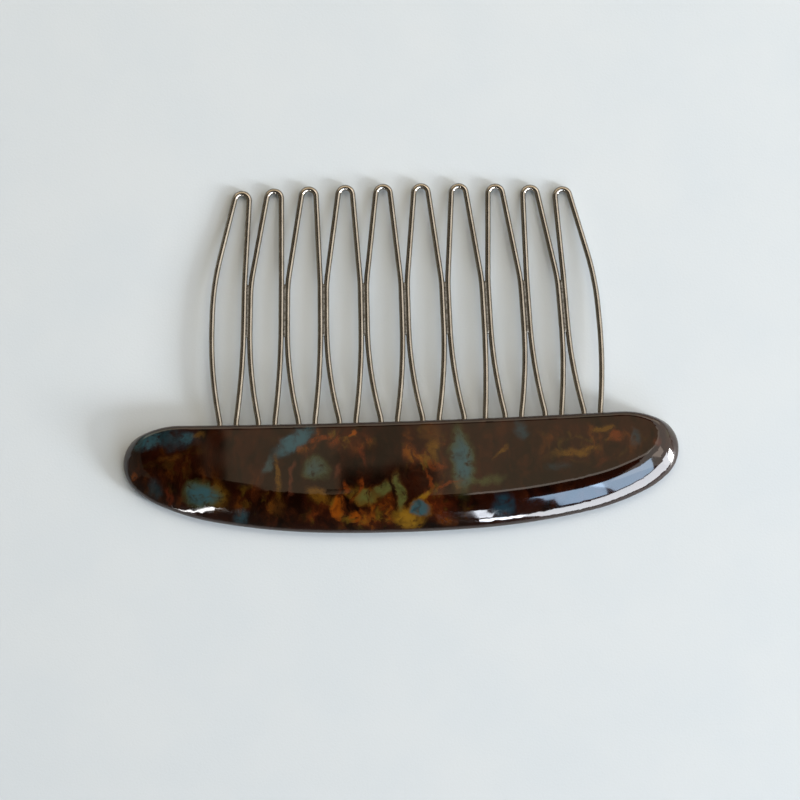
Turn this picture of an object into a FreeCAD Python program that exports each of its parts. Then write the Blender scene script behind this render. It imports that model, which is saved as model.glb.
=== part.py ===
import FreeCAD, Part
import math
import os

# Decorative side comb lying on its flat back, in millimetres.
# X runs along the head, Y from the head to the tips and Z up out of the face.
# A domed acetate head carries ten separate wire hairpins, two legs each, pressed into
# blind sockets in its upper edge. Neighbouring hairpins touch halfway up and are
# soldered there, so the teeth brace each other. Nothing on it moves.

Vec = FreeCAD.Vector

# Head, measured from the middle of its lower edge
HEAD_LENGTH = 100.0
HEAD_THICKNESS = 4.0
BACK_ROUND = 0.8
FACE_ROUND = 0.8
RIM_ROUND = 1.1
RIM_TILT = 34.0

# Right half of the outline: arcs tangent to each other, from the middle of the lower edge
# round the end to the upper edge, and the heading in degrees that each one ends at
OUTLINE_RADII = (290.0, 130.0, 42.0, 17.0, 6.4, 5.8, 15.5)
OUTLINE_HEADINGS = (2.7, 11.7, 26.0, 42.0, 90.0, 154.5, 181.4)

# Tilt of the face at each section of the crown, from the rim to the flat top
CROWN_TILTS = (27.0, 20.0, 14.0, 8.0, 3.0, 0.0)

# Hairpins, with the bends of a leg from the head to the tip. BOW_SHARE is how much of the
# run above the head its long bow takes up.
TEETH = 10
WIRE = 1.0
LOOP_RADIUS = 1.31
SOCKET_DEPTH = 8.0
SOCKET_PLAY = 0.02
ROOT_GAP = 2.95
KINK_HEIGHT = 0.5
KINK_RADIUS = 6.0
BELLY_RADIUS = 27.0
FREE_BELLY_RADIUS = 50.0
BOW_SHARE = 0.995

# One hairpin was bent wider at the head than the rest
WIDE_TOOTH = 7
WIDE_BY = 0.85

# Spacing of the row: its middle, its pitch there, and how the pitch closes to the ends
ROOT_MIDDLE = 1.85
ROOT_PITCH = 7.5
ROOT_CLOSING = 0.011
TOUCH_MIDDLE = 1.55
TOUCH_PITCH = 7.4
TOUCH_CLOSING = 0.0187
TIP_MIDDLE = 1.7
TIP_PITCH = 6.85
TIP_CLOSING = 0.0215

# Heights up the row, and how much lower they sit from one tooth to the next
TOUCH_FOOT = 37.8
TOUCH_MIDWAY = 40.2
TOUCH_TOP = 45.0
TIP_TOP = 62.8
ROW_TILT = 0.115
TIP_BOW = 0.044
TOUCH_LEAN = 0.0018

# Wire centre above the table: level at the head, falling to the tips
ROOT_Z = 2.0
FALL_START = 24.0
TOUCH_FALL = 0.03
END_TIP_Z = WIRE / 2
MIDDLE_TIP_RISE = 0.35

# Solder between neighbours
TOUCH_GAP = 0.1
SOLDER_RADIUS = 0.42
SOLDER_LENGTH = 8.7


def outline_arcs(inset):
    """Start, middle and end of each arc of the right half, moved inwards by inset."""
    half_length = 0.0
    heading = 0.0
    for radius, to in zip(OUTLINE_RADII, OUTLINE_HEADINGS):
        if heading < 90.0:
            half_length += radius * (math.sin(math.radians(to)) - math.sin(math.radians(heading)))
        heading = to
    scale = HEAD_LENGTH / 2 / half_length

    arcs = []
    x, y, heading = 0.0, inset, 0.0
    for radius, to in zip(OUTLINE_RADII, OUTLINE_HEADINGS):
        r = radius * scale - inset
        a = math.radians(heading)
        centre_x = x - r * math.sin(a)
        centre_y = y + r * math.cos(a)
        points = []
        for degrees in (heading, (heading + to) / 2, to):
            t = math.radians(degrees)
            points.append((centre_x + r * math.sin(t), centre_y - r * math.cos(t)))
        arcs.append(points)
        x, y = points[-1]
        heading = to
    return arcs


def upper_edge_radius(end_x):
    """Radius of the shallow hollow of the upper edge, which ends at end_x."""
    return end_x / math.sin(math.radians(OUTLINE_HEADINGS[-1] - 180.0))


def upper_edge_y(x):
    """Height of the upper edge at x, on its hollow."""
    end_x, end_y = outline_arcs(0.0)[-1][-1]
    radius = upper_edge_radius(end_x)
    return end_y + math.sqrt(radius ** 2 - end_x ** 2) - math.sqrt(radius ** 2 - x ** 2)


def outline_wire(z, lower_inset, upper_inset):
    """Closed outline at height z, moved in by one amount below and another above."""
    inset = (lower_inset + upper_inset) / 2
    shift = (lower_inset - upper_inset) / 2
    right = outline_arcs(inset)
    end_x, end_y = right[-1][-1]
    radius = upper_edge_radius(end_x)
    hollow = radius - math.sqrt(radius ** 2 - end_x ** 2)
    top = [(end_x, end_y), (0.0, end_y - hollow), (-end_x, end_y)]
    left = [[(-px, py) for px, py in reversed(arc)] for arc in reversed(right)]
    edges = []
    for arc in right + [top] + left:
        points = [Vec(px, py + shift, z) for px, py in arc]
        edges.append(Part.Arc(*points).toShape())
    return Part.Wire(edges)


def upper_rounding(z):
    """How far the upper side is drawn in at height z by its rounded corner."""
    over = z - (HEAD_THICKNESS - FACE_ROUND)
    if over <= 0.0:
        return 0.0
    return FACE_ROUND - math.sqrt(max(FACE_ROUND ** 2 - over ** 2, 0.0))


def head_blank():
    """Loft of the head from its flat back, round the rim and over the crown of the face."""
    sections = []
    for degrees in (0.0, 30.0, 60.0, 90.0):
        t = math.radians(degrees)
        inset = BACK_ROUND * (1 - math.sin(t))
        sections.append((BACK_ROUND * (1 - math.cos(t)), inset, inset))

    steepest = math.radians(RIM_TILT)
    for degrees in ((90.0 + RIM_TILT) / 2, RIM_TILT):
        t = math.radians(degrees)
        sections.append((BACK_ROUND + RIM_ROUND * math.cos(t), RIM_ROUND * (1 - math.sin(t)), 0.0))

    rim_z, rim_inset, _ = sections[-1]
    crown = (HEAD_THICKNESS - rim_z) / (1 - math.cos(steepest))
    for degrees in CROWN_TILTS:
        t = math.radians(degrees)
        z = HEAD_THICKNESS - crown * (1 - math.cos(t))
        lower = rim_inset + crown * (math.sin(steepest) - math.sin(t))
        sections.append((z, lower, upper_rounding(z)))
    return Part.makeLoft([outline_wire(*section) for section in sections], True, False)


def closing_row(middle, pitch, closing, place):
    """X of a place in the row, counted from the middle, with the pitch closing to the ends."""
    return middle + pitch * place - closing * place ** 3


def row_place(tooth):
    """Place of a tooth in the row, from -4.5 to 4.5."""
    return tooth - (TEETH + 1) / 2


def root_x(tooth, side):
    """X of one leg where it enters the head; side is -1 for left and 1 for right."""
    x = closing_row(ROOT_MIDDLE, ROOT_PITCH, ROOT_CLOSING, row_place(tooth)) + side * ROOT_GAP / 2
    if tooth == WIDE_TOOTH and side > 0:
        x += WIDE_BY
    return x


def touch_x(place, y):
    """X at height y of the line along which two neighbours touch."""
    foot = closing_row(TOUCH_MIDDLE, TOUCH_PITCH, TOUCH_CLOSING, place)
    lean = -TOUCH_LEAN * (foot - TOUCH_MIDDLE)
    return foot + lean * (y - TOUCH_MIDWAY)


def is_free(tooth, side):
    """True for the outermost leg at either end, which has no neighbour."""
    return (tooth == 1 and side < 0) or (tooth == TEETH and side > 0)


def leg_x(tooth, side, y):
    """X of a leg along its straight middle run at height y."""
    x = touch_x(row_place(tooth) + side / 2, y)
    if is_free(tooth, side):
        return x
    return x - side * (WIRE + TOUCH_GAP) / 2


def touch_z(y):
    """Height of the wires above the table between the head and the top of the touching zone."""
    return ROOT_Z - TOUCH_FALL * (y - FALL_START)


def rounded_route(points, radii):
    """Straight edges through the points, joined at the inner ones by tangent arcs."""
    edges = []
    start = points[0]
    for before, corner, after, radius in zip(points, points[1:], points[2:], radii):
        back = (before - corner).normalize()
        ahead = (after - corner).normalize()
        half_turn = (math.pi - back.getAngle(ahead)) / 2
        reach = radius * math.tan(half_turn)
        inwards = (back + ahead).normalize()
        middle = corner + inwards * (radius / math.cos(half_turn) - radius)
        arc_start = corner + back * reach
        arc_end = corner + ahead * reach
        edges.append(Part.LineSegment(start, arc_start).toShape())
        edges.append(Part.Arc(arc_start, middle, arc_end).toShape())
        start = arc_end
    edges.append(Part.LineSegment(start, points[-1]).toShape())
    return edges


def tip_frame(tooth):
    """Foot and slope of the sloping plane that holds the upper half of a hairpin."""
    place = row_place(tooth)
    foot_y = TOUCH_TOP - ROW_TILT * place
    foot_z = touch_z(foot_y)
    tip_y = TIP_TOP - ROW_TILT * place - TIP_BOW * place ** 2
    loop_y = tip_y - WIRE / 2 - LOOP_RADIUS
    outermost = place / row_place(TEETH)
    tip_z = END_TIP_Z + MIDDLE_TIP_RISE * (1 - outermost ** 2)
    slope = math.atan2(tip_z - foot_z, tip_y - WIRE / 2 - foot_y)
    return foot_y, foot_z, slope, loop_y


def leg_route(tooth, side):
    """Points and bend radii of one leg, from the floor of its socket to the tip loop."""
    foot_y, foot_z, slope, loop_y = tip_frame(tooth)
    root = root_x(tooth, side)
    kink_y = upper_edge_y(root) + KINK_HEIGHT
    bow_y = (kink_y + TOUCH_FOOT - ROW_TILT * row_place(tooth)) / 2
    socket_floor = Vec(root, upper_edge_y(0.0) - SOCKET_DEPTH, ROOT_Z)
    kink = Vec(root, kink_y, ROOT_Z)
    bow = Vec(leg_x(tooth, side, bow_y), bow_y, touch_z(bow_y))
    belly = Vec(leg_x(tooth, side, foot_y), foot_y, foot_z)

    loop_x = closing_row(TIP_MIDDLE, TIP_PITCH, TIP_CLOSING, row_place(tooth))
    across = loop_x - belly.x
    up = (loop_y - foot_y) / math.cos(slope)
    reach = math.hypot(across, up)
    turn = math.asin(LOOP_RADIUS / reach)
    heading = math.atan2(up, across) - side * turn
    run = math.sqrt(reach ** 2 - LOOP_RADIUS ** 2)
    loop_start = on_tip_plane(tooth, belly.x + run * math.cos(heading), run * math.sin(heading))

    kink_turn = (kink - socket_floor).getAngle(bow - kink)
    bow_turn = (bow - kink).getAngle(belly - bow)
    free_run = (bow - kink).Length - KINK_RADIUS * math.tan(kink_turn / 2)
    bow_radius = free_run / math.tan(bow_turn / 2)
    belly_radius = FREE_BELLY_RADIUS if is_free(tooth, side) else BELLY_RADIUS
    points = [socket_floor, kink, bow, belly, loop_start]
    return points, [KINK_RADIUS, bow_radius * BOW_SHARE, belly_radius]


def on_tip_plane(tooth, x, up):
    """Point of a hairpin's sloping upper plane, up along the slope from its foot."""
    foot_y, foot_z, slope, _ = tip_frame(tooth)
    return Vec(x, foot_y + up * math.cos(slope), foot_z + up * math.sin(slope))


def tip_loop(tooth, left, right):
    """Two arcs of the round tip, from the left leg's end to the right leg's."""
    foot_y, _, slope, loop_y = tip_frame(tooth)
    loop_x = closing_row(TIP_MIDDLE, TIP_PITCH, TIP_CLOSING, row_place(tooth))
    centre_up = (loop_y - foot_y) / math.cos(slope)
    centre = on_tip_plane(tooth, loop_x, centre_up)
    rise = Vec(0.0, math.cos(slope), math.sin(slope))

    def at(angle):
        return centre + Vec(math.cos(angle), 0.0, 0.0) * LOOP_RADIUS + rise * (LOOP_RADIUS * math.sin(angle))

    first = math.atan2((left - centre).dot(rise), (left - centre).x) % (2 * math.pi)
    last = math.atan2((right - centre).dot(rise), (right - centre).x)
    angles = [first + (last - first) * k / 4 for k in range(5)]
    points = [left] + [at(angle) for angle in angles[1:-1]] + [right]
    return [Part.Arc(*points[0:3]).toShape(), Part.Arc(*points[2:5]).toShape()]


def hairpin(tooth):
    """One tooth: a single wire from socket floor to socket floor round its tip loop."""
    left_points, left_radii = leg_route(tooth, -1)
    right_points, right_radii = leg_route(tooth, 1)
    edges = rounded_route(left_points, left_radii)
    edges += tip_loop(tooth, left_points[-1], right_points[-1])
    edges += rounded_route(right_points[::-1], right_radii[::-1])
    path = Part.Wire(edges)
    section = Part.Wire(Part.makeCircle(WIRE / 2, left_points[0], Vec(0.0, 1.0, 0.0)))
    solid = path.makePipeShell([section], True, False)
    expected = math.pi * WIRE ** 2 / 4 * path.Length
    print("tooth_%02d length %.2f volume %.4f of %.4f" % (tooth, path.Length, solid.Volume, expected))
    return solid


def solder_bar(start, end):
    """Round-ended bar from one point to another, turned about its own length."""
    radius = SOLDER_RADIUS
    length = (end - start).Length
    slant = radius * math.sqrt(0.5)
    tail = Part.Arc(Vec(radius, 0.0, 0.0), Vec(slant, 0.0, -slant), Vec(0.0, 0.0, -radius))
    nose = Part.Arc(Vec(0.0, 0.0, length + radius), Vec(slant, 0.0, length + slant), Vec(radius, 0.0, length))
    axis = Part.LineSegment(Vec(0.0, 0.0, -radius), Vec(0.0, 0.0, length + radius))
    side = Part.LineSegment(Vec(radius, 0.0, length), Vec(radius, 0.0, 0.0))
    profile = Part.Wire([piece.toShape() for piece in (axis, nose, side, tail)])
    bar = Part.Face(profile).revolve(Vec(0.0, 0.0, 0.0), Vec(0.0, 0.0, 1.0), 360)
    bar.Placement = FreeCAD.Placement(start, FreeCAD.Rotation(Vec(0.0, 0.0, 1.0), end - start))
    return bar


def solder_run(gap, hairpins):
    """Solder in the crevice between two neighbours, cut by both wires."""
    place = gap - TEETH / 2
    middle_y = TOUCH_MIDWAY - ROW_TILT * place
    ends = []
    for y in (middle_y - SOLDER_LENGTH / 2, middle_y + SOLDER_LENGTH / 2):
        ends.append(Vec(touch_x(place, y), y, touch_z(y)))
    return solder_bar(*ends).cut([hairpins[gap], hairpins[gap + 1]])


def sockets():
    """The twenty blind holes for the legs."""
    floor_y = upper_edge_y(0.0) - SOCKET_DEPTH
    length = SOCKET_DEPTH + 3 * WIRE
    radius = WIRE / 2 + SOCKET_PLAY
    holes = []
    for tooth in range(1, TEETH + 1):
        for side in (-1, 1):
            floor = Vec(root_x(tooth, side), floor_y, ROOT_Z)
            holes.append(Part.makeCylinder(radius, length, floor, Vec(0.0, 1.0, 0.0)))
    return holes


def build():
    """Make every piece and write it with the origin under the middle of the comb."""
    hairpins = {tooth: hairpin(tooth) for tooth in range(1, TEETH + 1)}
    pieces = {"head": head_blank().cut(sockets())}
    for tooth, solid in hairpins.items():
        pieces["tooth_%02d" % tooth] = solid
    for gap in range(1, TEETH):
        pieces["solder_%02d" % gap] = solder_run(gap, hairpins)

    tip = max(solid.BoundBox.YMax for solid in hairpins.values())
    shift = tip / 2
    os.makedirs("parts", exist_ok=True)
    for name, shape in pieces.items():
        placed = shape.copy()
        placed.translate(Vec(0.0, -shift, 0.0))
        placed.exportStep("parts/%s.step" % name)
        box = placed.BoundBox
        print("%s valid %s solids %d volume %.3f" % (name, placed.isValid(), len(placed.Solids), placed.Volume))
        print("  box %.3f %.3f %.3f" % (box.XMin, box.YMin, box.ZMin), "%.3f %.3f %.3f" % (box.XMax, box.YMax, box.ZMax))
    print("origin lies %.4f above the lower edge" % shift)


if __name__ == "__main__":
    build()
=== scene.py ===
"""Dress a decorative hair comb: a tortoiseshell acetate head and ten bent wire hairpins."""

import logging
import math
from dataclasses import dataclass, field
from enum import Enum

import bpy
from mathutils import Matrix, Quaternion, Vector

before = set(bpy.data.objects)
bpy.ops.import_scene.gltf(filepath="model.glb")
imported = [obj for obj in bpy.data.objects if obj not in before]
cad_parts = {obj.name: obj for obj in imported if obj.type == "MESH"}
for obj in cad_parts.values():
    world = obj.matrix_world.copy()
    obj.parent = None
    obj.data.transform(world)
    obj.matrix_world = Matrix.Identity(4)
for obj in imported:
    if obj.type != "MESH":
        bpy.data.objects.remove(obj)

log = logging.getLogger("hair_comb")

MM = 0.001

# The curve by which a paint code becomes light
CODE_KNEE = 0.04045
CODE_SLOPE = 12.92
CODE_OFFSET = 0.055
CODE_POWER = 2.4

# What the colour of a noise averages
NOISE_MIDDLE = (0.5, 0.5, 0.5)

# Where a flake, its fringe and a fold of wisps fade, as shares of their own size
FLAKE_OUTER = 1.05
FLAKE_INNER = 1.0
FRINGE_OUTER = 1.35
FRINGE_INNER = 0.9
FOLD_OUTER = 1.3
FOLD_INNER = 0.5

# How far a fully soft edge moves those limits, and how much of a flake its fringe covers
SOFT_OUTWARDS = 0.6
SOFT_INWARDS = 0.9
FRINGE_SHARE = 0.85

# The table is square, and lies a hair below the comb so that the two don't flicker
TABLE_SIZE = 3.0
TABLE_DROP = 0.00005

Colour = tuple[float, float, float, float]
Place = tuple[float, float, float]
Inputs = dict[int | str, object]
Socket = bpy.types.NodeSocket


def tone(code: str) -> Colour:
    """Turn a paint code into the linear colour that a shader takes.

    Args:
        code: Six hexadecimal digits, red then green then blue.

    Returns:
        The linear red, green and blue with an alpha of 1.
    """
    lit = []
    for at in (0, 2, 4):
        part = int(code[at:at + 2], 16) / 255
        if part <= CODE_KNEE:
            lit.append(part / CODE_SLOPE)
        else:
            lit.append(((part + CODE_OFFSET) / (1 + CODE_OFFSET)) ** CODE_POWER)
    return (lit[0], lit[1], lit[2], 1.0)


@dataclass(frozen=True)
class Cloud:
    """A cloudy noise and how it is read as a share.

    Attributes:
        pitch: Cells of the noise per millimetre.
        low: The noise where the share is 0.
        high: The noise where the share reaches the top.
        top: The largest share.
        stretch: How much finer the noise is along each axis.
        detail: Octaves of finer noise on top.
        rough: How strong the finer octaves are.
    """

    pitch: float
    low: float
    high: float
    top: float = 1.0
    stretch: Place = (1.0, 1.0, 1.0)
    detail: float = 3.0
    rough: float = 0.55


@dataclass(frozen=True)
class Drift:
    """How colour drifts while a sheet is pressed.

    Attributes:
        pitch: Cells of the noise that moves it, per millimetre.
        reach: How far it can move, in millimetres.
        detail: Octaves of finer noise on top.
    """

    pitch: float
    reach: float
    detail: float


class Recipe:
    """A material that is mixed step by step from shader nodes."""

    def __init__(self, name: str) -> None:
        """Start an empty material.

        Args:
            name: The finish's name in a maker's words.
        """
        self.material = bpy.data.materials.new(name)
        self.material.use_nodes = True
        self.tree = self.material.node_tree
        self.tree.nodes.clear()
        self.output = self.tree.nodes.new("ShaderNodeOutputMaterial")

    def feed(self, socket: Socket, value: object) -> None:
        """Give a socket a fixed value, or join it to another node's result.

        Args:
            socket: The input to fill.
            value: A number, a colour, a vector or another node's output.
        """
        if isinstance(value, Socket):
            self.tree.links.new(value, socket)
        else:
            socket.default_value = value

    def step(self, kind: str, settings: dict[str, object], inputs: Inputs) -> bpy.types.Node:
        """Add one node.

        Args:
            kind: Blender's name for the node type.
            settings: Options of the node itself.
            inputs: Values or links for its inputs, by name or number.

        Returns:
            The new node.
        """
        node = self.tree.nodes.new(kind)
        for name, value in settings.items():
            setattr(node, name, value)
        for key, value in inputs.items():
            self.feed(node.inputs[key], value)
        return node

    def millimetres(self) -> Socket:
        """Read the place on the piece.

        Returns:
            The place in millimetres of the comb's own frame.
        """
        place = self.step("ShaderNodeTexCoord", {}, {}).outputs["Object"]
        return self.scaled(place, (1 / MM, 1 / MM, 1 / MM))

    def lift(self) -> Socket:
        """Read how squarely the surface faces up or down.

        Returns:
            The share, from 0 on a side to 1 on a flat.
        """
        facing = self.step("ShaderNodeTexCoord", {}, {}).outputs["Normal"]
        upright = self.step("ShaderNodeSeparateXYZ", {}, {0: facing}).outputs[2]
        return self.number("ABSOLUTE", upright)

    def scaled(self, place: Socket, by: Place) -> Socket:
        """Stretch a place along the three axes.

        Args:
            place: The place to stretch.
            by: The factor on each axis.

        Returns:
            The stretched place.
        """
        return self.step("ShaderNodeVectorMath", {"operation": "MULTIPLY"}, {0: place, 1: by}).outputs[0]

    def number(self, operation: str, first: object, second: object = 0.0) -> Socket:
        """Do one step of arithmetic.

        Args:
            operation: Blender's name for the operation.
            first: The first number.
            second: The second number, if the operation has one.

        Returns:
            The result.
        """
        return self.step("ShaderNodeMath", {"operation": operation}, {0: first, 1: second}).outputs[0]

    def grain(self, place: Socket, pitch: float, detail: float) -> bpy.types.Node:
        """Add even noise.

        Args:
            place: Where the noise is read, in millimetres.
            pitch: Cells of the noise per millimetre.
            detail: Octaves of finer noise on top.

        Returns:
            The noise node.
        """
        inputs = {"Vector": place, "Scale": pitch, "Detail": detail, "Roughness": Cloud.rough}
        return self.step("ShaderNodeTexNoise", {}, inputs)

    def haze(self, place: Socket, cloud: Cloud) -> Socket:
        """Add the noise of a cloud.

        Args:
            place: Where the noise is read, in millimetres.
            cloud: The cloud.

        Returns:
            The noise, before it is read as a share.
        """
        noise = self.grain(self.scaled(place, cloud.stretch), cloud.pitch, cloud.detail)
        noise.inputs["Roughness"].default_value = cloud.rough
        return noise.outputs[0]

    def cloudy(self, place: Socket, cloud: Cloud) -> Socket:
        """Read a cloud as a share.

        Args:
            place: Where the noise is read, in millimetres.
            cloud: The cloud.

        Returns:
            The share.
        """
        return self.band(self.haze(place, cloud), cloud.low, cloud.high, cloud.top)

    def swirl(self, place: Socket, drift: Drift) -> Socket:
        """Push a place about by noise.

        Args:
            place: The place to push.
            drift: How it is pushed.

        Returns:
            The pushed place.
        """
        noise = self.grain(place, drift.pitch, drift.detail).outputs["Color"]
        shift = self.step("ShaderNodeVectorMath", {"operation": "SUBTRACT"}, {0: noise, 1: NOISE_MIDDLE})
        push = self.scaled(shift.outputs[0], (drift.reach, drift.reach, drift.reach))
        return self.step("ShaderNodeVectorMath", {"operation": "ADD"}, {0: place, 1: push}).outputs[0]

    def band(self, value: object, low: float, high: float, top: float = 1.0) -> Socket:
        """Turn a value into a share that rises smoothly between two limits.

        Args:
            value: The value to read.
            low: Where the share is 0.
            high: Where the share reaches the top.
            top: The largest share.

        Returns:
            The share.
        """
        inputs = {"Value": value, "From Min": low, "From Max": high, "To Min": 0.0, "To Max": top}
        return self.step("ShaderNodeMapRange", {"interpolation_type": "SMOOTHSTEP"}, inputs).outputs[0]

    def blend(self, share: object, under: object, over: object) -> Socket:
        """Lay one colour over another.

        Args:
            share: How much of the upper colour shows.
            under: The lower colour.
            over: The upper colour.

        Returns:
            The mixed colour.
        """
        # The mix node's colours are its inputs 6 and 7 and its output 2
        return self.step("ShaderNodeMix", {"data_type": "RGBA"}, {0: share, 6: under, 7: over}).outputs[2]

    def uneven(self, noise: Socket, least: float, spread: float) -> Socket:
        """Turn noise into a roughness that changes a little from place to place.

        Args:
            noise: The noise, from 0 to 1.
            least: The roughness where the noise is 0.
            spread: What is added where the noise is 1.

        Returns:
            The roughness.
        """
        inputs = {0: noise, 1: spread, 2: least}
        return self.step("ShaderNodeMath", {"operation": "MULTIPLY_ADD"}, inputs).outputs[0]

    def bump(self, height: object, depth: float) -> Socket:
        """Raise the surface by a height.

        Args:
            height: The height as a share.
            depth: The full height in metres.

        Returns:
            The bent normal.
        """
        inputs = {"Height": height, "Distance": depth, "Strength": 1.0}
        return self.step("ShaderNodeBump", {}, inputs).outputs[0]

    def finish(self, **inputs: object) -> bpy.types.Material:
        """Close the recipe with its surface shader.

        Args:
            **inputs: Inputs of the surface shader, with underscores for spaces.

        Returns:
            The finished material.
        """
        named = {name.replace("_", " "): value for name, value in inputs.items()}
        shader = self.step("ShaderNodeBsdfPrincipled", {}, named)
        self.tree.links.new(shader.outputs[0], self.output.inputs["Surface"])
        return self.material


class Tint(Enum):
    """Colours in the acetate: its browns, its wisps, its flakes and its duller rim."""

    PITCH = "080201"
    UMBER = "110401"
    CHESTNUT = "280c04"
    TAN = "3c1807"
    FLAME = "54240a"
    BLAZE = "8a4a10"
    GILT = "7a5c1c"
    NIGHT = "0d0502"
    SOOT = "190a05"
    TEAL = "35545c"
    DUSK = "263f46"
    NAVY = "1c3440"
    SLATE = "3c4f50"
    MOSS = "57582f"
    SAGE = "474a2a"
    GOLD = "94691c"
    OCHRE = "6b4612"
    BRONZE = "4a2a0d"
    EMBER = "8a420c"
    RUST = "5a220c"
    COPPER = "70300e"
    ROSE = "55291a"
    RIM = "2c1f18"


@dataclass(frozen=True)
class Flake:
    """One flake of colour in the acetate, in millimetres of the comb's frame.

    Attributes:
        x: Its middle along the head.
        y: Its middle across the head.
        wide: Its half length.
        high: Its half width.
        turn: How far its length is turned from the head's length, in degrees.
        tint: Its colour.
        share: How strongly it covers what is under it.
        edge: How soft its edge is, from 0 to 1.
        fringe: The colour of the rim round it, if it has one.
    """

    x: float
    y: float
    wide: float
    high: float
    turn: float
    tint: Tint
    share: float = 0.9
    edge: float = 0.5
    fringe: Tint | None = None


@dataclass(frozen=True)
class Fold:
    """A fold of the sheet where wisps stand, in millimetres of the comb's frame.

    Attributes:
        x: Its middle along the head.
        y: Its middle across the head.
        wide: Its half length.
        high: Its half width.
        share: How strongly its wisps cover what is under them.
        turn: How far its length is turned from the head's length, in degrees.
    """

    x: float
    y: float
    wide: float
    high: float
    share: float
    turn: float = 0.0


@dataclass(frozen=True)
class Layer:
    """A cloud of one colour in the acetate.

    Attributes:
        tint: Its colour.
        cloud: Where it lies.
    """

    tint: Tint
    cloud: Cloud


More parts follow.
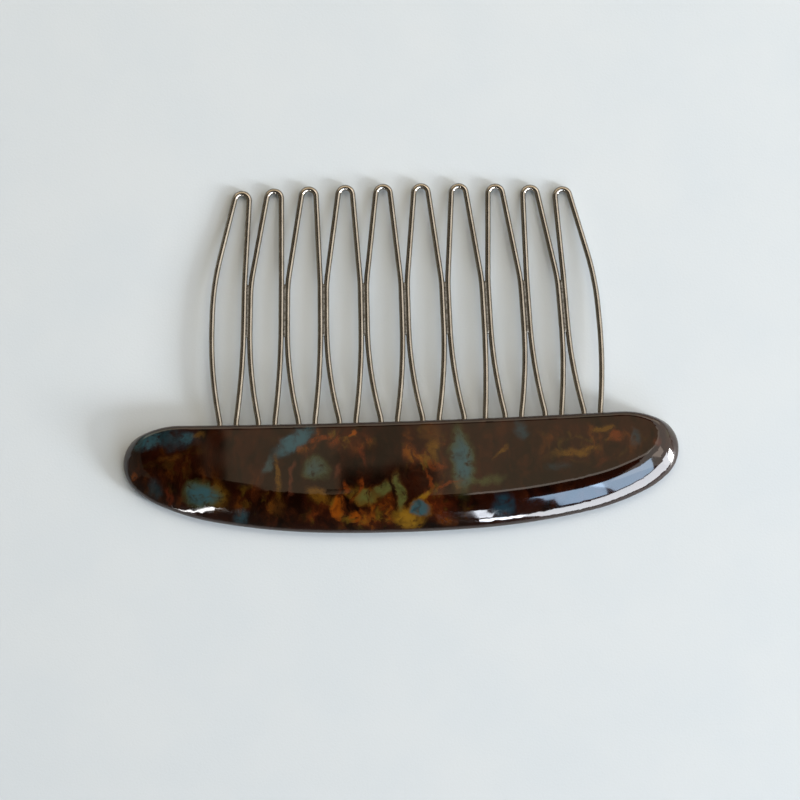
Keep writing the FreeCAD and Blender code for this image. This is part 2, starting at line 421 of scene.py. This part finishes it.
@dataclass(frozen=True)
class Tortoiseshell:
    """Polished acetate with flakes of teal, gold and orange in dark brown.

    Attributes:
        flakes: The flakes, from the lowest to the uppermost.
        folds: The folds where wisps stand.
        browns: The clouds of brown over the darkest ground.
        wisps: The orange and gold wisps of the folds.
        wisp: How thick the colour lies in the flakes.
        smoke: The dark haze over everything.
        dimmed: How much red, green and blue shows through the acetate.
        flow: The broad drift of the colours.
        curl: The fine drift of the colours.
        level: The height of the flakes' middles in the sheet, in millimetres.
        thick: The flakes' half thickness, in millimetres.
        rim_from: The lift of the surface where the rim starts.
        rim_to: The lift where the rim is reached.
        rim_share: How strongly the rim's own colour covers it.
        rim_rough: How much rougher the rim is.
        rim_coat: How much weaker its coat is.
        gloss: The least roughness of the face.
        gloss_spread: How much noise adds to that.
        gloss_pitch: Cells of that noise per millimetre.
        wave: The height of the polish's slow waves, in metres.
        wave_pitch: Cells of those waves per millimetre.
        coat: The weight of the polished coat.
        coat_rough: Its roughness.
        bend: How strongly the acetate bends light.
    """

    flakes: tuple[Flake, ...] = (
        Flake(-42.3, -13.0, 6.0, 1.7, 0, Tint.DUSK, 0.6, 0.7),
        Flake(-46.4, -13.6, 3.0, 1.5, 0, Tint.TEAL, 0.75, 0.5),
        Flake(-38.1, -12.9, 1.4, 1.0, 20, Tint.TEAL, 0.7, 0.6),
        Flake(-44.4, -22.3, 1.2, 1.6, 0, Tint.DUSK, 0.5, 0.7),
        Flake(-33.3, -23.8, 2.0, 2.6, 10, Tint.OCHRE, 0.6, 0.6),
        Flake(-35.8, -23.5, 2.8, 1.9, -15, Tint.TEAL, 0.9, 0.45, Tint.SAGE),
        Flake(-24.1, -19.0, 0.9, 1.9, -35, Tint.SLATE, 0.7, 0.6),
        Flake(-19.2, -14.4, 3.6, 1.4, 35, Tint.TEAL, 0.9, 0.4, Tint.DUSK),
        Flake(-15.1, -24.3, 2.2, 1.3, -15, Tint.OCHRE, 0.75, 0.6),
        Flake(-15.3, -19.6, 1.6, 1.5, 0, Tint.SLATE, 0.7, 0.7, Tint.SAGE),
        Flake(-29.2, -27.9, 1.4, 1.7, 0, Tint.DUSK, 0.85, 0.5),
        Flake(-6.2, -25.0, 1.7, 1.0, 10, Tint.MOSS, 0.85, 0.5, Tint.OCHRE),
        Flake(-3.3, -23.4, 1.6, 1.2, 40, Tint.MOSS, 0.85, 0.5, Tint.BRONZE),
        Flake(-0.6, -23.9, 0.9, 3.3, 5, Tint.MOSS, 0.9, 0.5, Tint.BRONZE),
        Flake(1.0, -29.0, 2.8, 1.8, -20, Tint.GOLD, 0.85, 0.6),
        Flake(4.2, -24.8, 1.4, 0.6, 30, Tint.GOLD, 0.8, 0.6),
        Flake(3.2, -27.2, 1.7, 1.7, 0, Tint.TEAL, 0.95, 0.35, Tint.OCHRE),
        Flake(10.8, -18.7, 1.7, 4.8, 3, Tint.TEAL, 0.8, 0.55, Tint.SAGE),
        Flake(15.2, -22.2, 3.6, 0.8, 5, Tint.SAGE, 0.6, 0.7),
        Flake(17.9, -27.2, 1.9, 2.9, 0, Tint.NAVY, 0.9, 0.5),
        Flake(21.7, -13.7, 1.2, 1.9, 0, Tint.DUSK, 0.6, 0.6),
        Flake(28.1, -20.7, 2.0, 0.9, 0, Tint.DUSK, 0.4, 0.7),
        Flake(41.8, -15.9, 0.9, 1.8, 0, Tint.DUSK, 0.6, 0.6),
        Flake(48.6, -15.2, 1.0, 1.0, 0, Tint.SAGE, 0.5, 0.7),
        Flake(-41.5, -16.4, 2.2, 0.7, 15, Tint.BRONZE, 0.7, 0.7),
        Flake(-36.0, -12.7, 1.4, 0.6, 0, Tint.OCHRE, 0.5, 0.7),
        Flake(-22.2, -20.8, 0.6, 3.9, 3, Tint.OCHRE, 0.65, 0.6),
        Flake(-22.5, -26.3, 1.6, 1.6, 0, Tint.BRONZE, 0.7, 0.6),
        Flake(5.2, -13.9, 1.6, 1.6, 0, Tint.BRONZE, 0.8, 0.7),
        Flake(6.0, -16.9, 1.1, 2.0, 10, Tint.OCHRE, 0.7, 0.6),
        Flake(17.9, -17.8, 2.2, 0.5, 40, Tint.OCHRE, 0.6, 0.6),
        Flake(31.4, -17.9, 4.0, 0.8, 3, Tint.OCHRE, 0.75, 0.6),
        Flake(36.2, -13.8, 2.0, 0.7, 10, Tint.OCHRE, 0.7, 0.6),
        Flake(-48.1, -20.2, 0.6, 1.0, 0, Tint.EMBER, 0.8, 0.6),
        Flake(-41.8, -24.0, 0.7, 1.9, 5, Tint.RUST, 0.8, 0.6),
        Flake(-19.7, -21.3, 0.5, 3.0, -8, Tint.ROSE, 0.75, 0.5),
        Flake(-14.2, -14.2, 2.4, 0.6, 10, Tint.COPPER, 0.8, 0.6),
        Flake(-11.4, -15.0, 0.6, 1.4, -30, Tint.COPPER, 0.6, 0.6),
        Flake(-8.5, -13.6, 0.4, 0.9, -20, Tint.EMBER, 0.9, 0.4),
        Flake(-7.0, -17.4, 0.5, 1.6, 25, Tint.RUST, 0.8, 0.6),
        Flake(-11.5, -19.8, 0.7, 1.2, -20, Tint.ROSE, 0.7, 0.6),
        Flake(-16.1, -27.6, 1.7, 0.8, 30, Tint.COPPER, 0.5, 0.7),
        Flake(-11.6, -26.9, 0.9, 1.9, 10, Tint.EMBER, 0.95, 0.45),
        Flake(-8.6, -28.1, 1.2, 0.8, -30, Tint.EMBER, 0.9, 0.5),
        Flake(-10.0, -23.4, 0.5, 1.7, 5, Tint.COPPER, 0.8, 0.5),
        Flake(-7.6, -23.1, 0.5, 1.7, -5, Tint.COPPER, 0.8, 0.5),
        Flake(6.1, -19.4, 1.5, 0.7, -25, Tint.COPPER, 0.7, 0.6),
        Flake(4.8, -21.8, 0.35, 2.8, 22, Tint.COPPER, 0.75, 0.5),
        Flake(8.3, -23.4, 2.3, 0.35, 12, Tint.COPPER, 0.65, 0.5),
        Flake(6.8, -26.7, 2.4, 2.4, 0, Tint.RUST, 0.6, 0.8),
        Flake(35.5, -20.2, 1.4, 0.6, 20, Tint.RUST, 0.7, 0.6),
        Flake(38.2, -15.2, 0.9, 1.2, 0, Tint.COPPER, 0.7, 0.6),
        Flake(45.9, -16.2, 0.8, 0.8, 0, Tint.RUST, 0.5, 0.6),
        Flake(-1.8, -23.7, 0.3, 2.7, 5, Tint.NIGHT, 0.9, 0.5),
        Flake(-12.8, -23.2, 0.9, 2.0, 0, Tint.NIGHT, 0.9, 0.6),
        Flake(23.5, -22.8, 6.0, 1.5, 5, Tint.NIGHT, 0.8, 0.8),
        Flake(33.5, -21.8, 8.0, 2.0, 8, Tint.NIGHT, 0.8, 0.8),
    )
    folds: tuple[Fold, ...] = (
        Fold(-8.0, -27.0, 9.5, 3.8, 0.95),
        Fold(-13.0, -14.5, 9.0, 2.6, 0.7),
        Fold(4.5, -17.5, 4.0, 5.5, 0.75),
        Fold(7.5, -26.0, 5.0, 4.0, 0.7),
        Fold(-26.0, -25.0, 4.5, 4.0, 0.4),
        Fold(-40.0, -20.0, 9.0, 7.0, 0.16),
        Fold(34.0, -16.5, 10.0, 4.0, 0.3),
    )
    browns: tuple[Layer, ...] = (
        Layer(Tint.CHESTNUT, Cloud(0.16, 0.36, 0.62, 1.0, (1.0, 0.7, 1.0))),
        Layer(Tint.TAN, Cloud(0.42, 0.52, 0.74, 0.6, (1.0, 0.45, 1.0), 3.0, 0.5)),
        Layer(Tint.PITCH, Cloud(0.3, 0.54, 0.72, 0.8, (1.3, 0.6, 1.0), 2.0, 0.5)),
    )
    wisps: tuple[Layer, ...] = (
        Layer(Tint.FLAME, Cloud(0.42, 0.4, 0.64, 1.0, (1.0, 0.5, 0.6))),
        Layer(Tint.BLAZE, Cloud(0.42, 0.54, 0.72, 1.0, (1.0, 0.5, 0.6))),
        Layer(Tint.GILT, Cloud(0.5, 0.52, 0.7, 0.6, (0.8, 0.6, 0.6), 3.0, 0.6)),
    )
    wisp: Cloud = Cloud(0.8, 0.2, 0.55)
    smoke: Layer = Layer(Tint.SOOT, Cloud(0.7, 0.5, 0.3, 0.45, (1.0, 0.6, 1.0), 2.0, 0.5))
    dimmed: Place = (0.76, 0.84, 0.84)
    flow: Drift = Drift(0.22, 2.6, 1.0)
    curl: Drift = Drift(0.7, 1.5, 3.0)
    level: float = 3.0
    thick: float = 4.5
    rim_from: float = 0.84
    rim_to: float = 0.74
    rim_share: float = 0.8
    rim_rough: float = 0.28
    rim_coat: float = 0.6
    gloss: float = 0.03
    gloss_spread: float = 0.06
    gloss_pitch: float = 1.3
    wave: float = 0.00006
    wave_pitch: float = 0.1
    coat: float = 0.9
    coat_rough: float = 0.03
    bend: float = 1.5

    def reach(self, recipe: Recipe, place: Socket, patch: Flake | Fold) -> Socket:
        """Measure how far a place is from the middle of a flake or a fold.

        Args:
            recipe: The material being mixed.
            place: The swirled place in millimetres.
            patch: The flake or fold to measure from.

        Returns:
            The distance as a share of its own size.
        """
        inputs = {
            "Vector": place,
            "Location": (patch.x, patch.y, self.level),
            "Rotation": (0.0, 0.0, math.radians(patch.turn)),
            "Scale": (patch.wide, patch.high, self.thick),
        }
        local = recipe.step("ShaderNodeMapping", {"vector_type": "TEXTURE"}, inputs).outputs[0]
        return recipe.step("ShaderNodeVectorMath", {"operation": "LENGTH"}, {0: local}).outputs["Value"]

    def cover(self, recipe: Recipe, place: Socket, wisp: Socket, under: Socket, flake: Flake) -> Socket:
        """Lay one flake over the colour below it.

        Args:
            recipe: The material being mixed.
            place: The swirled place in millimetres.
            wisp: How thick the colour lies, which makes a flake cloudy.
            under: The colour below the flake.
            flake: The flake to lay.

        Returns:
            The colour with the flake on it.
        """
        far = self.reach(recipe, place, flake)
        soft = flake.edge * SOFT_OUTWARDS
        if flake.fringe is not None:
            rim = recipe.band(far, FRINGE_OUTER + soft, FRINGE_INNER, flake.share * FRINGE_SHARE)
            rim = recipe.number("MULTIPLY", rim, wisp)
            under = recipe.blend(rim, under, tone(flake.fringe.value))
        share = recipe.band(far, FLAKE_OUTER + soft, FLAKE_INNER - flake.edge * SOFT_INWARDS, flake.share)
        share = recipe.number("MULTIPLY", share, wisp)
        return recipe.blend(share, under, tone(flake.tint.value))

    def flames(self, recipe: Recipe, place: Socket, under: Socket) -> Socket:
        """Draw upright orange and gold wisps where the sheet was folded.

        Args:
            recipe: The material being mixed.
            place: The swirled place in millimetres.
            under: The colour below the wisps.

        Returns:
            The colour with the wisps on it.
        """
        zone = None
        for fold in self.folds:
            more = recipe.band(self.reach(recipe, place, fold), FOLD_OUTER, FOLD_INNER, fold.share)
            zone = more if zone is None else recipe.number("MAXIMUM", zone, more)
        for layer in self.wisps:
            share = recipe.number("MULTIPLY", recipe.cloudy(place, layer.cloud), zone)
            under = recipe.blend(share, under, tone(layer.tint.value))
        return under

    def ground(self, recipe: Recipe, place: Socket) -> Socket:
        """Mix the dark brown that the flakes lie in.

        Args:
            recipe: The material being mixed.
            place: The swirled place in millimetres.

        Returns:
            The colour of the ground.
        """
        brown = tone(Tint.UMBER.value)
        for layer in self.browns:
            brown = recipe.blend(recipe.cloudy(place, layer.cloud), brown, tone(layer.tint.value))
        return brown

    def mix(self) -> bpy.types.Material:
        """Mix the acetate.

        Returns:
            The finished material.
        """
        recipe = Recipe("tortoiseshell_acetate")
        place = recipe.millimetres()
        swirled = recipe.swirl(recipe.swirl(place, self.flow), self.curl)
        colour = self.flames(recipe, swirled, self.ground(recipe, swirled))
        wisp = recipe.cloudy(swirled, self.wisp)
        for flake in self.flakes:
            colour = self.cover(recipe, swirled, wisp, colour, flake)
        smoke = recipe.cloudy(swirled, self.smoke.cloud)
        colour = recipe.blend(smoke, recipe.scaled(colour, self.dimmed), tone(self.smoke.tint.value))
        rim = recipe.band(recipe.lift(), self.rim_from, self.rim_to)
        rim_share = recipe.number("MULTIPLY", rim, self.rim_share)
        colour = recipe.blend(rim_share, colour, tone(Tint.RIM.value))
        polish = recipe.grain(place, self.gloss_pitch, 3.0).outputs[0]
        rough = recipe.uneven(polish, self.gloss, self.gloss_spread)
        rough = recipe.number("ADD", rough, recipe.number("MULTIPLY", rim, self.rim_rough))
        coat = recipe.number("SUBTRACT", self.coat, recipe.number("MULTIPLY", rim, self.rim_coat))
        waves = recipe.grain(place, self.wave_pitch, 1.0).outputs[0]
        normal = recipe.bump(waves, self.wave)
        return recipe.finish(Base_Color=colour, Roughness=rough, Normal=normal, IOR=self.bend,
                             Coat_Weight=coat, Coat_Roughness=self.coat_rough)


@dataclass(frozen=True)
class DrawnWire:
    """Satin steel wire with fine lines drawn along it.

    Attributes:
        metal: The paint code of the clean steel.
        worn: The paint code of the worn patches.
        side_shade: The paint code of the painted shade on the wire's sides, where the surface faces
            sideways.
        line: The paint code of the drawn lines.
        patches: Where the steel is worn.
        lines: The drawn lines.
        side_from: The lift of the surface where the painted side shade starts.
        side_to: The lift where the painted side shade is full.
        satin: The least roughness.
        satin_spread: How much the lines add to that.
        groove: The depth of the lines in metres.
    """

    metal: str = "d2ccc2"
    worn: str = "bfb8ad"
    # Painted shade: a darker paint code laid on the wire's sideways-facing surface
    side_shade: str = "8a8276"
    line: str = "6b6357"
    patches: Cloud = Cloud(0.35, 0.35, 0.7, detail=2.0)
    lines: Cloud = Cloud(1.0, 0.55, 0.8, 0.2, (9.0, 0.35, 9.0), 3.0, 0.6)
    side_from: float = 0.86
    side_to: float = 0.6
    satin: float = 0.17
    satin_spread: float = 0.06
    groove: float = 0.000002

    def mix(self) -> bpy.types.Material:
        """Mix the wire.

        Returns:
            The finished material.
        """
        recipe = Recipe("drawn_steel_wire")
        place = recipe.millimetres()
        lines = recipe.haze(place, self.lines)
        colour = recipe.blend(recipe.cloudy(place, self.patches), tone(self.metal), tone(self.worn))
        # Painted shade: the wire is painted darker where its surface faces sideways, so its edges look
        # dark from above
        sides = recipe.band(recipe.lift(), self.side_from, self.side_to)
        colour = recipe.blend(sides, colour, tone(self.side_shade))
        drawn = recipe.band(lines, self.lines.low, self.lines.high, self.lines.top)
        colour = recipe.blend(drawn, colour, tone(self.line))
        rough = recipe.uneven(lines, self.satin, self.satin_spread)
        normal = recipe.bump(lines, self.groove)
        return recipe.finish(Base_Color=colour, Metallic=1.0, Roughness=rough, Normal=normal)


@dataclass(frozen=True)
class DullSolder:
    """Grey solder that has set with small ripples.

    Attributes:
        metal: The paint code of the bare solder.
        dross: The paint code of its crust.
        crust: Where the crust lies.
        dull: The least roughness.
        dull_spread: How much the crust adds to that.
        ripple: The height of the ripples in metres.
    """

    metal: str = "8f8c86"
    dross: str = "5f5a52"
    crust: Cloud = Cloud(2.4, 0.4, 0.65, rough=0.6)
    dull: float = 0.36
    dull_spread: float = 0.25
    ripple: float = 0.00006

    def mix(self) -> bpy.types.Material:
        """Mix the solder.

        Returns:
            The finished material.
        """
        recipe = Recipe("dull_solder")
        place = recipe.millimetres()
        crust = recipe.haze(place, self.crust)
        crusted = recipe.band(crust, self.crust.low, self.crust.high, self.crust.top)
        colour = recipe.blend(crusted, tone(self.metal), tone(self.dross))
        rough = recipe.uneven(crust, self.dull, self.dull_spread)
        normal = recipe.bump(crust, self.ripple)
        return recipe.finish(Base_Color=colour, Metallic=1.0, Roughness=rough, Normal=normal)


@dataclass
class Head:
    """The domed acetate head that holds the hairpins."""

    node: str = "head"
    finish: Tortoiseshell = field(default_factory=Tortoiseshell)

    def dress(self) -> list[str]:
        """Give the head its acetate.

        Returns:
            The names of the pieces that were dressed.
        """
        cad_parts[self.node].material_slots[0].material = self.finish.mix()
        return [self.node]


@dataclass
class Hairpins:
    """The ten bent wire hairpins."""

    count: int = 10
    finish: DrawnWire = field(default_factory=DrawnWire)

    def dress(self) -> list[str]:
        """Give every hairpin the same drawn wire.

        Returns:
            The names of the pieces that were dressed.
        """
        steel = self.finish.mix()
        names = [f"tooth_{number:02d}" for number in range(1, self.count + 1)]
        for name in names:
            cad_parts[name].material_slots[0].material = steel
        return names


@dataclass
class SolderRuns:
    """The runs of solder where neighbouring hairpins touch."""

    count: int = 9
    finish: DullSolder = field(default_factory=DullSolder)

    def dress(self) -> list[str]:
        """Give every run the same solder.

        Returns:
            The names of the pieces that were dressed.
        """
        grey = self.finish.mix()
        names = [f"solder_{number:02d}" for number in range(1, self.count + 1)]
        for name in names:
            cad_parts[name].material_slots[0].material = grey
        return names


def flat_lamp(name: str, wide: float, deep: float, watts: float, tint: str) -> bpy.types.Object:
    """Add a flat lamp that faces straight down.

    Args:
        name: What the lamp stands for.
        wide: Its length in metres.
        deep: Its width in metres.
        watts: Its power.
        tint: The paint code of its light.

    Returns:
        The lamp, at the middle of the table.
    """
    data = bpy.data.lights.new(name, "AREA")
    data.shape = "RECTANGLE"
    data.size = wide
    data.size_y = deep
    data.energy = watts
    data.color = tone(tint)[:3]
    lamp = bpy.data.objects.new(name, data)
    bpy.context.scene.collection.objects.link(lamp)
    return lamp


class Part(Enum):
    """What a lamp does in the picture."""

    BOTH = "lights the comb and shines back from its polish"
    FILL = "only lights the comb"
    GLINT = "only shines back from the polish"


@dataclass(frozen=True)
class SoftLamp:
    """A flat soft lamp that faces the comb.

    Attributes:
        name: What the lamp stands for.
        heading: Its direction from the comb, in degrees from the comb's length towards its teeth.
        height: Its height above the table, in degrees.
        away: Its distance in metres.
        wide: Its width in metres.
        tall: Its height in metres.
        watts: Its power.
        tint: Its colour.
        roll: How far it is turned about the line to the comb, in degrees.
        part: Whether it lights, shines back, or both.
    """

    name: str
    heading: float
    height: float
    away: float
    wide: float
    tall: float
    watts: float
    tint: str
    roll: float = 0.0
    part: Part = Part.BOTH

    def hang(self) -> None:
        """Add the lamp to the scene."""
        level = math.radians(self.height)
        side = math.radians(self.heading)
        out = math.cos(level)
        towards = Vector((math.cos(side) * out, math.sin(side) * out, math.sin(level)))
        upright = towards.to_track_quat("Z", "Y")
        roll = Quaternion((0.0, 0.0, 1.0), math.radians(self.roll))
        lamp = flat_lamp(self.name, self.wide, self.tall, self.watts, self.tint)
        lamp.location = towards * self.away
        lamp.rotation_euler = (upright @ roll).to_euler()
        lamp.visible_diffuse = self.part is not Part.GLINT
        lamp.visible_glossy = self.part is not Part.FILL


@dataclass(frozen=True)
class CeilingPanel:
    """A dim panel that faces straight down.

    Attributes:
        name: What the panel stands for.
        x: Its middle along the comb, in metres.
        y: Its middle across the comb, in metres.
        wide: Its length along the comb in metres.
        deep: Its length across the comb in metres.
        watts: Its power.
        tint: Its colour.
        up: Its height above the table in metres.
    """

    name: str
    x: float
    y: float
    wide: float
    deep: float
    watts: float
    tint: str = "ffe2ba"
    up: float = 1.1

    def hang(self) -> None:
        """Add the panel to the scene."""
        panel = flat_lamp(self.name, self.wide, self.deep, self.watts, self.tint)
        panel.location = (self.x, self.y, self.up)


@dataclass
class Studio:
    """The pale table, the light and the camera.

    Attributes:
        turn: How far the comb lies turned in the picture, in degrees.
        eye: The point under the camera, in millimetres.
        rise: The height above the table at which the picture's width is measured, in metres.
        stand: The camera's height above that, in metres.
        across: The width of the picture there, in millimetres.
        sensor: The width of the camera's sensor, in millimetres.
        paper: The paint codes of the table's mottled paper.
        mottle: Where the second of them lies.
        fibre: The height of the paper's fibres, in metres.
        fibre_pitch: Cells of the fibres per millimetre.
        backdrop: The paint code of what the camera sees past the table.
        room_tint: The paint code of the room's own light.
        room_glow: The room's own light by height, from the table's level at 0 to straight up at 1.
        lamps: The soft lamps round the comb.
        panels: The dim panels overhead, which the flat of the head mirrors.
    """

    turn: float = 1.87
    eye: tuple[float, float] = (0.14, -7.69)
    rise: float = 0.0015
    stand: float = 0.5
    across: float = 143.9
    sensor: float = 36.0
    paper: tuple[str, str] = ("d0dbe4", "d3dde5")
    mottle: Cloud = Cloud(0.05, 0.3, 0.7)
    fibre: float = 0.00002
    fibre_pitch: float = 2.5
    backdrop: str = "e4e5e7"
    room_tint: str = "fff8e6"
    room_glow: tuple[tuple[float, float], ...] = ((0.0, 0.03), (0.3, 0.06), (0.6, 0.03), (1.0, 0.0))
    lamps: tuple[SoftLamp, ...] = (
        SoftLamp("bright_window", -25.5, 16.0, 1.2, 0.23, 0.30, 14.0, "ffffff"),
        SoftLamp("bright_wall", 2.0, 42.0, 1.3, 2.10, 1.60, 9.2, "fff6ea"),
        SoftLamp("tip_wall", -39.0, 50.0, 1.2, 0.16, 0.30, 0.25, "ffe9d8", part=Part.GLINT),
        SoftLamp("window_low_panes", -54.7, 24.6, 1.2, 1.01, 0.385, 10.9, "f4f8ff", part=Part.GLINT),
        SoftLamp("window_left_pane", -71.8, 45.2, 1.2, 0.126, 0.44, 1.15, "b8d6f5", part=Part.GLINT),
        SoftLamp("window_right_pane", -58.3, 45.2, 1.2, 0.275, 0.44, 2.5, "bcd8f5", part=Part.GLINT),
        SoftLamp("far_lamp", -112.0, 25.0, 1.2, 0.03, 0.64, 1.0, "ffffff", -12.0, Part.GLINT),
        SoftLamp("narrow_pane", -82.6, 29.0, 1.2, 0.07, 0.13, 0.55, "eef4ff", part=Part.GLINT),
        SoftLamp("narrow_peak", -84.2, 39.0, 1.2, 0.022, 0.22, 0.2, "eef4ff", part=Part.GLINT),
        SoftLamp("far_wall", 85.0, 40.0, 1.3, 2.40, 1.10, 7.2, "ffeacc"),
        SoftLamp("side_glow", 10.0, 23.0, 1.3, 1.20, 0.60, 7.0, "eaf2ff", part=Part.FILL),
        SoftLamp("front_glow", -58.0, 27.0, 1.3, 1.00, 0.50, 4.7, "eaf2ff", part=Part.FILL),
        SoftLamp("back_glow", 92.0, 50.0, 1.3, 1.40, 0.80, 5.4, "fff2e0", part=Part.FILL),
        SoftLamp("left_room", 180.0, 35.0, 1.2, 1.60, 1.20, 0.5, "fff0d0"),
    )
    panels: tuple[CeilingPanel, ...] = (
        CeilingPanel("ceiling_left", -0.0685, -0.099, 0.065, 0.242, 0.020),
        CeilingPanel("ceiling_middle", -0.0080, -0.0225, 0.056, 0.045, 0.0024),
        CeilingPanel("ceiling_right", 0.2350, -0.139, 0.430, 0.322, 0.19),
        CeilingPanel("ceiling_beam", 0.2100, -0.335, 0.320, 0.060, 0.085, "fff0e0"),
    )

    def lay_table(self) -> None:
        """Add the pale table top."""
        bpy.ops.mesh.primitive_plane_add(size=TABLE_SIZE, location=(0.0, 0.0, -TABLE_DROP))
        table = bpy.context.active_object
        table.name = "table_top"
        recipe = Recipe("pale_paper")
        place = recipe.millimetres()
        plain, mottled = self.paper
        colour = recipe.blend(recipe.cloudy(place, self.mottle), tone(plain), tone(mottled))
        normal = recipe.bump(recipe.grain(place, self.fibre_pitch, 3.0).outputs[0], self.fibre)
        paper = recipe.finish(Base_Color=colour, Roughness=0.9, Specular_IOR_Level=0.0, Normal=normal)
        table.data.materials.append(paper)

    def hang_lamps(self) -> None:
        """Hang the lamps round the comb and the panels over it."""
        for lamp in self.lamps + self.panels:
            lamp.hang()

    def light_room(self) -> None:
        """Set the room's own dim light, and the pale backdrop that only the camera sees."""
        world = bpy.data.worlds.new("room")
        bpy.context.scene.world = world
        world.use_nodes = True
        tree = world.node_tree
        tree.nodes.clear()
        output = tree.nodes.new("ShaderNodeOutputWorld")
        room = tree.nodes.new("ShaderNodeBackground")
        pale = tree.nodes.new("ShaderNodeBackground")
        pale.inputs["Color"].default_value = tone(self.backdrop)
        facing = tree.nodes.new("ShaderNodeTexCoord")
        parts = tree.nodes.new("ShaderNodeSeparateXYZ")
        tree.links.new(facing.outputs["Generated"], parts.inputs[0])
        rise = tree.nodes.new("ShaderNodeFloatCurve")
        glow = rise.mapping.curves[0].points
        glow[0].location = self.room_glow[0]
        glow[-1].location = self.room_glow[-1]
        for at, strength in self.room_glow[1:-1]:
            glow.new(at, strength)
        rise.mapping.update()
        tree.links.new(parts.outputs["Z"], rise.inputs["Value"])
        tree.links.new(rise.outputs[0], room.inputs["Strength"])
        room.inputs["Color"].default_value = tone(self.room_tint)
        seen = tree.nodes.new("ShaderNodeLightPath")
        choose = tree.nodes.new("ShaderNodeMixShader")
        tree.links.new(seen.outputs["Is Camera Ray"], choose.inputs[0])
        tree.links.new(room.outputs[0], choose.inputs[1])
        tree.links.new(pale.outputs[0], choose.inputs[2])
        tree.links.new(choose.outputs[0], output.inputs["Surface"])
        bpy.context.scene.view_settings.view_transform = "Standard"

    def place_camera(self) -> None:
        """Look straight down on the comb, as the photograph does."""
        data = bpy.data.cameras.new("camera")
        data.sensor_width = self.sensor
        data.lens = data.sensor_width * self.stand / (self.across * MM)
        camera = bpy.data.objects.new("camera", data)
        camera.location = (self.eye[0] * MM, self.eye[1] * MM, self.stand + self.rise)
        camera.rotation_euler = (0.0, 0.0, -math.radians(self.turn))
        bpy.context.scene.collection.objects.link(camera)
        bpy.context.scene.camera = camera


def clear_start_scene() -> None:
    """Take away what Blender puts in a new file."""
    bpy.ops.object.select_all(action="DESELECT")
    for name in ("Cube", "Light", "Camera"):
        if name in bpy.data.objects:
            bpy.data.objects.remove(bpy.data.objects[name])


def main() -> None:
    """Dress every sub-assembly and set the studio round it."""
    logging.basicConfig(level=logging.INFO, format="%(message)s")
    clear_start_scene()
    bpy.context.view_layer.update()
    for assembly in (Head(), Hairpins(), SolderRuns()):
        for name in assembly.dress():
            log.info("%s: %s", type(assembly).__name__, name)
    studio = Studio()
    studio.lay_table()
    studio.hang_lamps()
    studio.light_room()
    studio.place_camera()


if __name__ == "__main__":
    main()
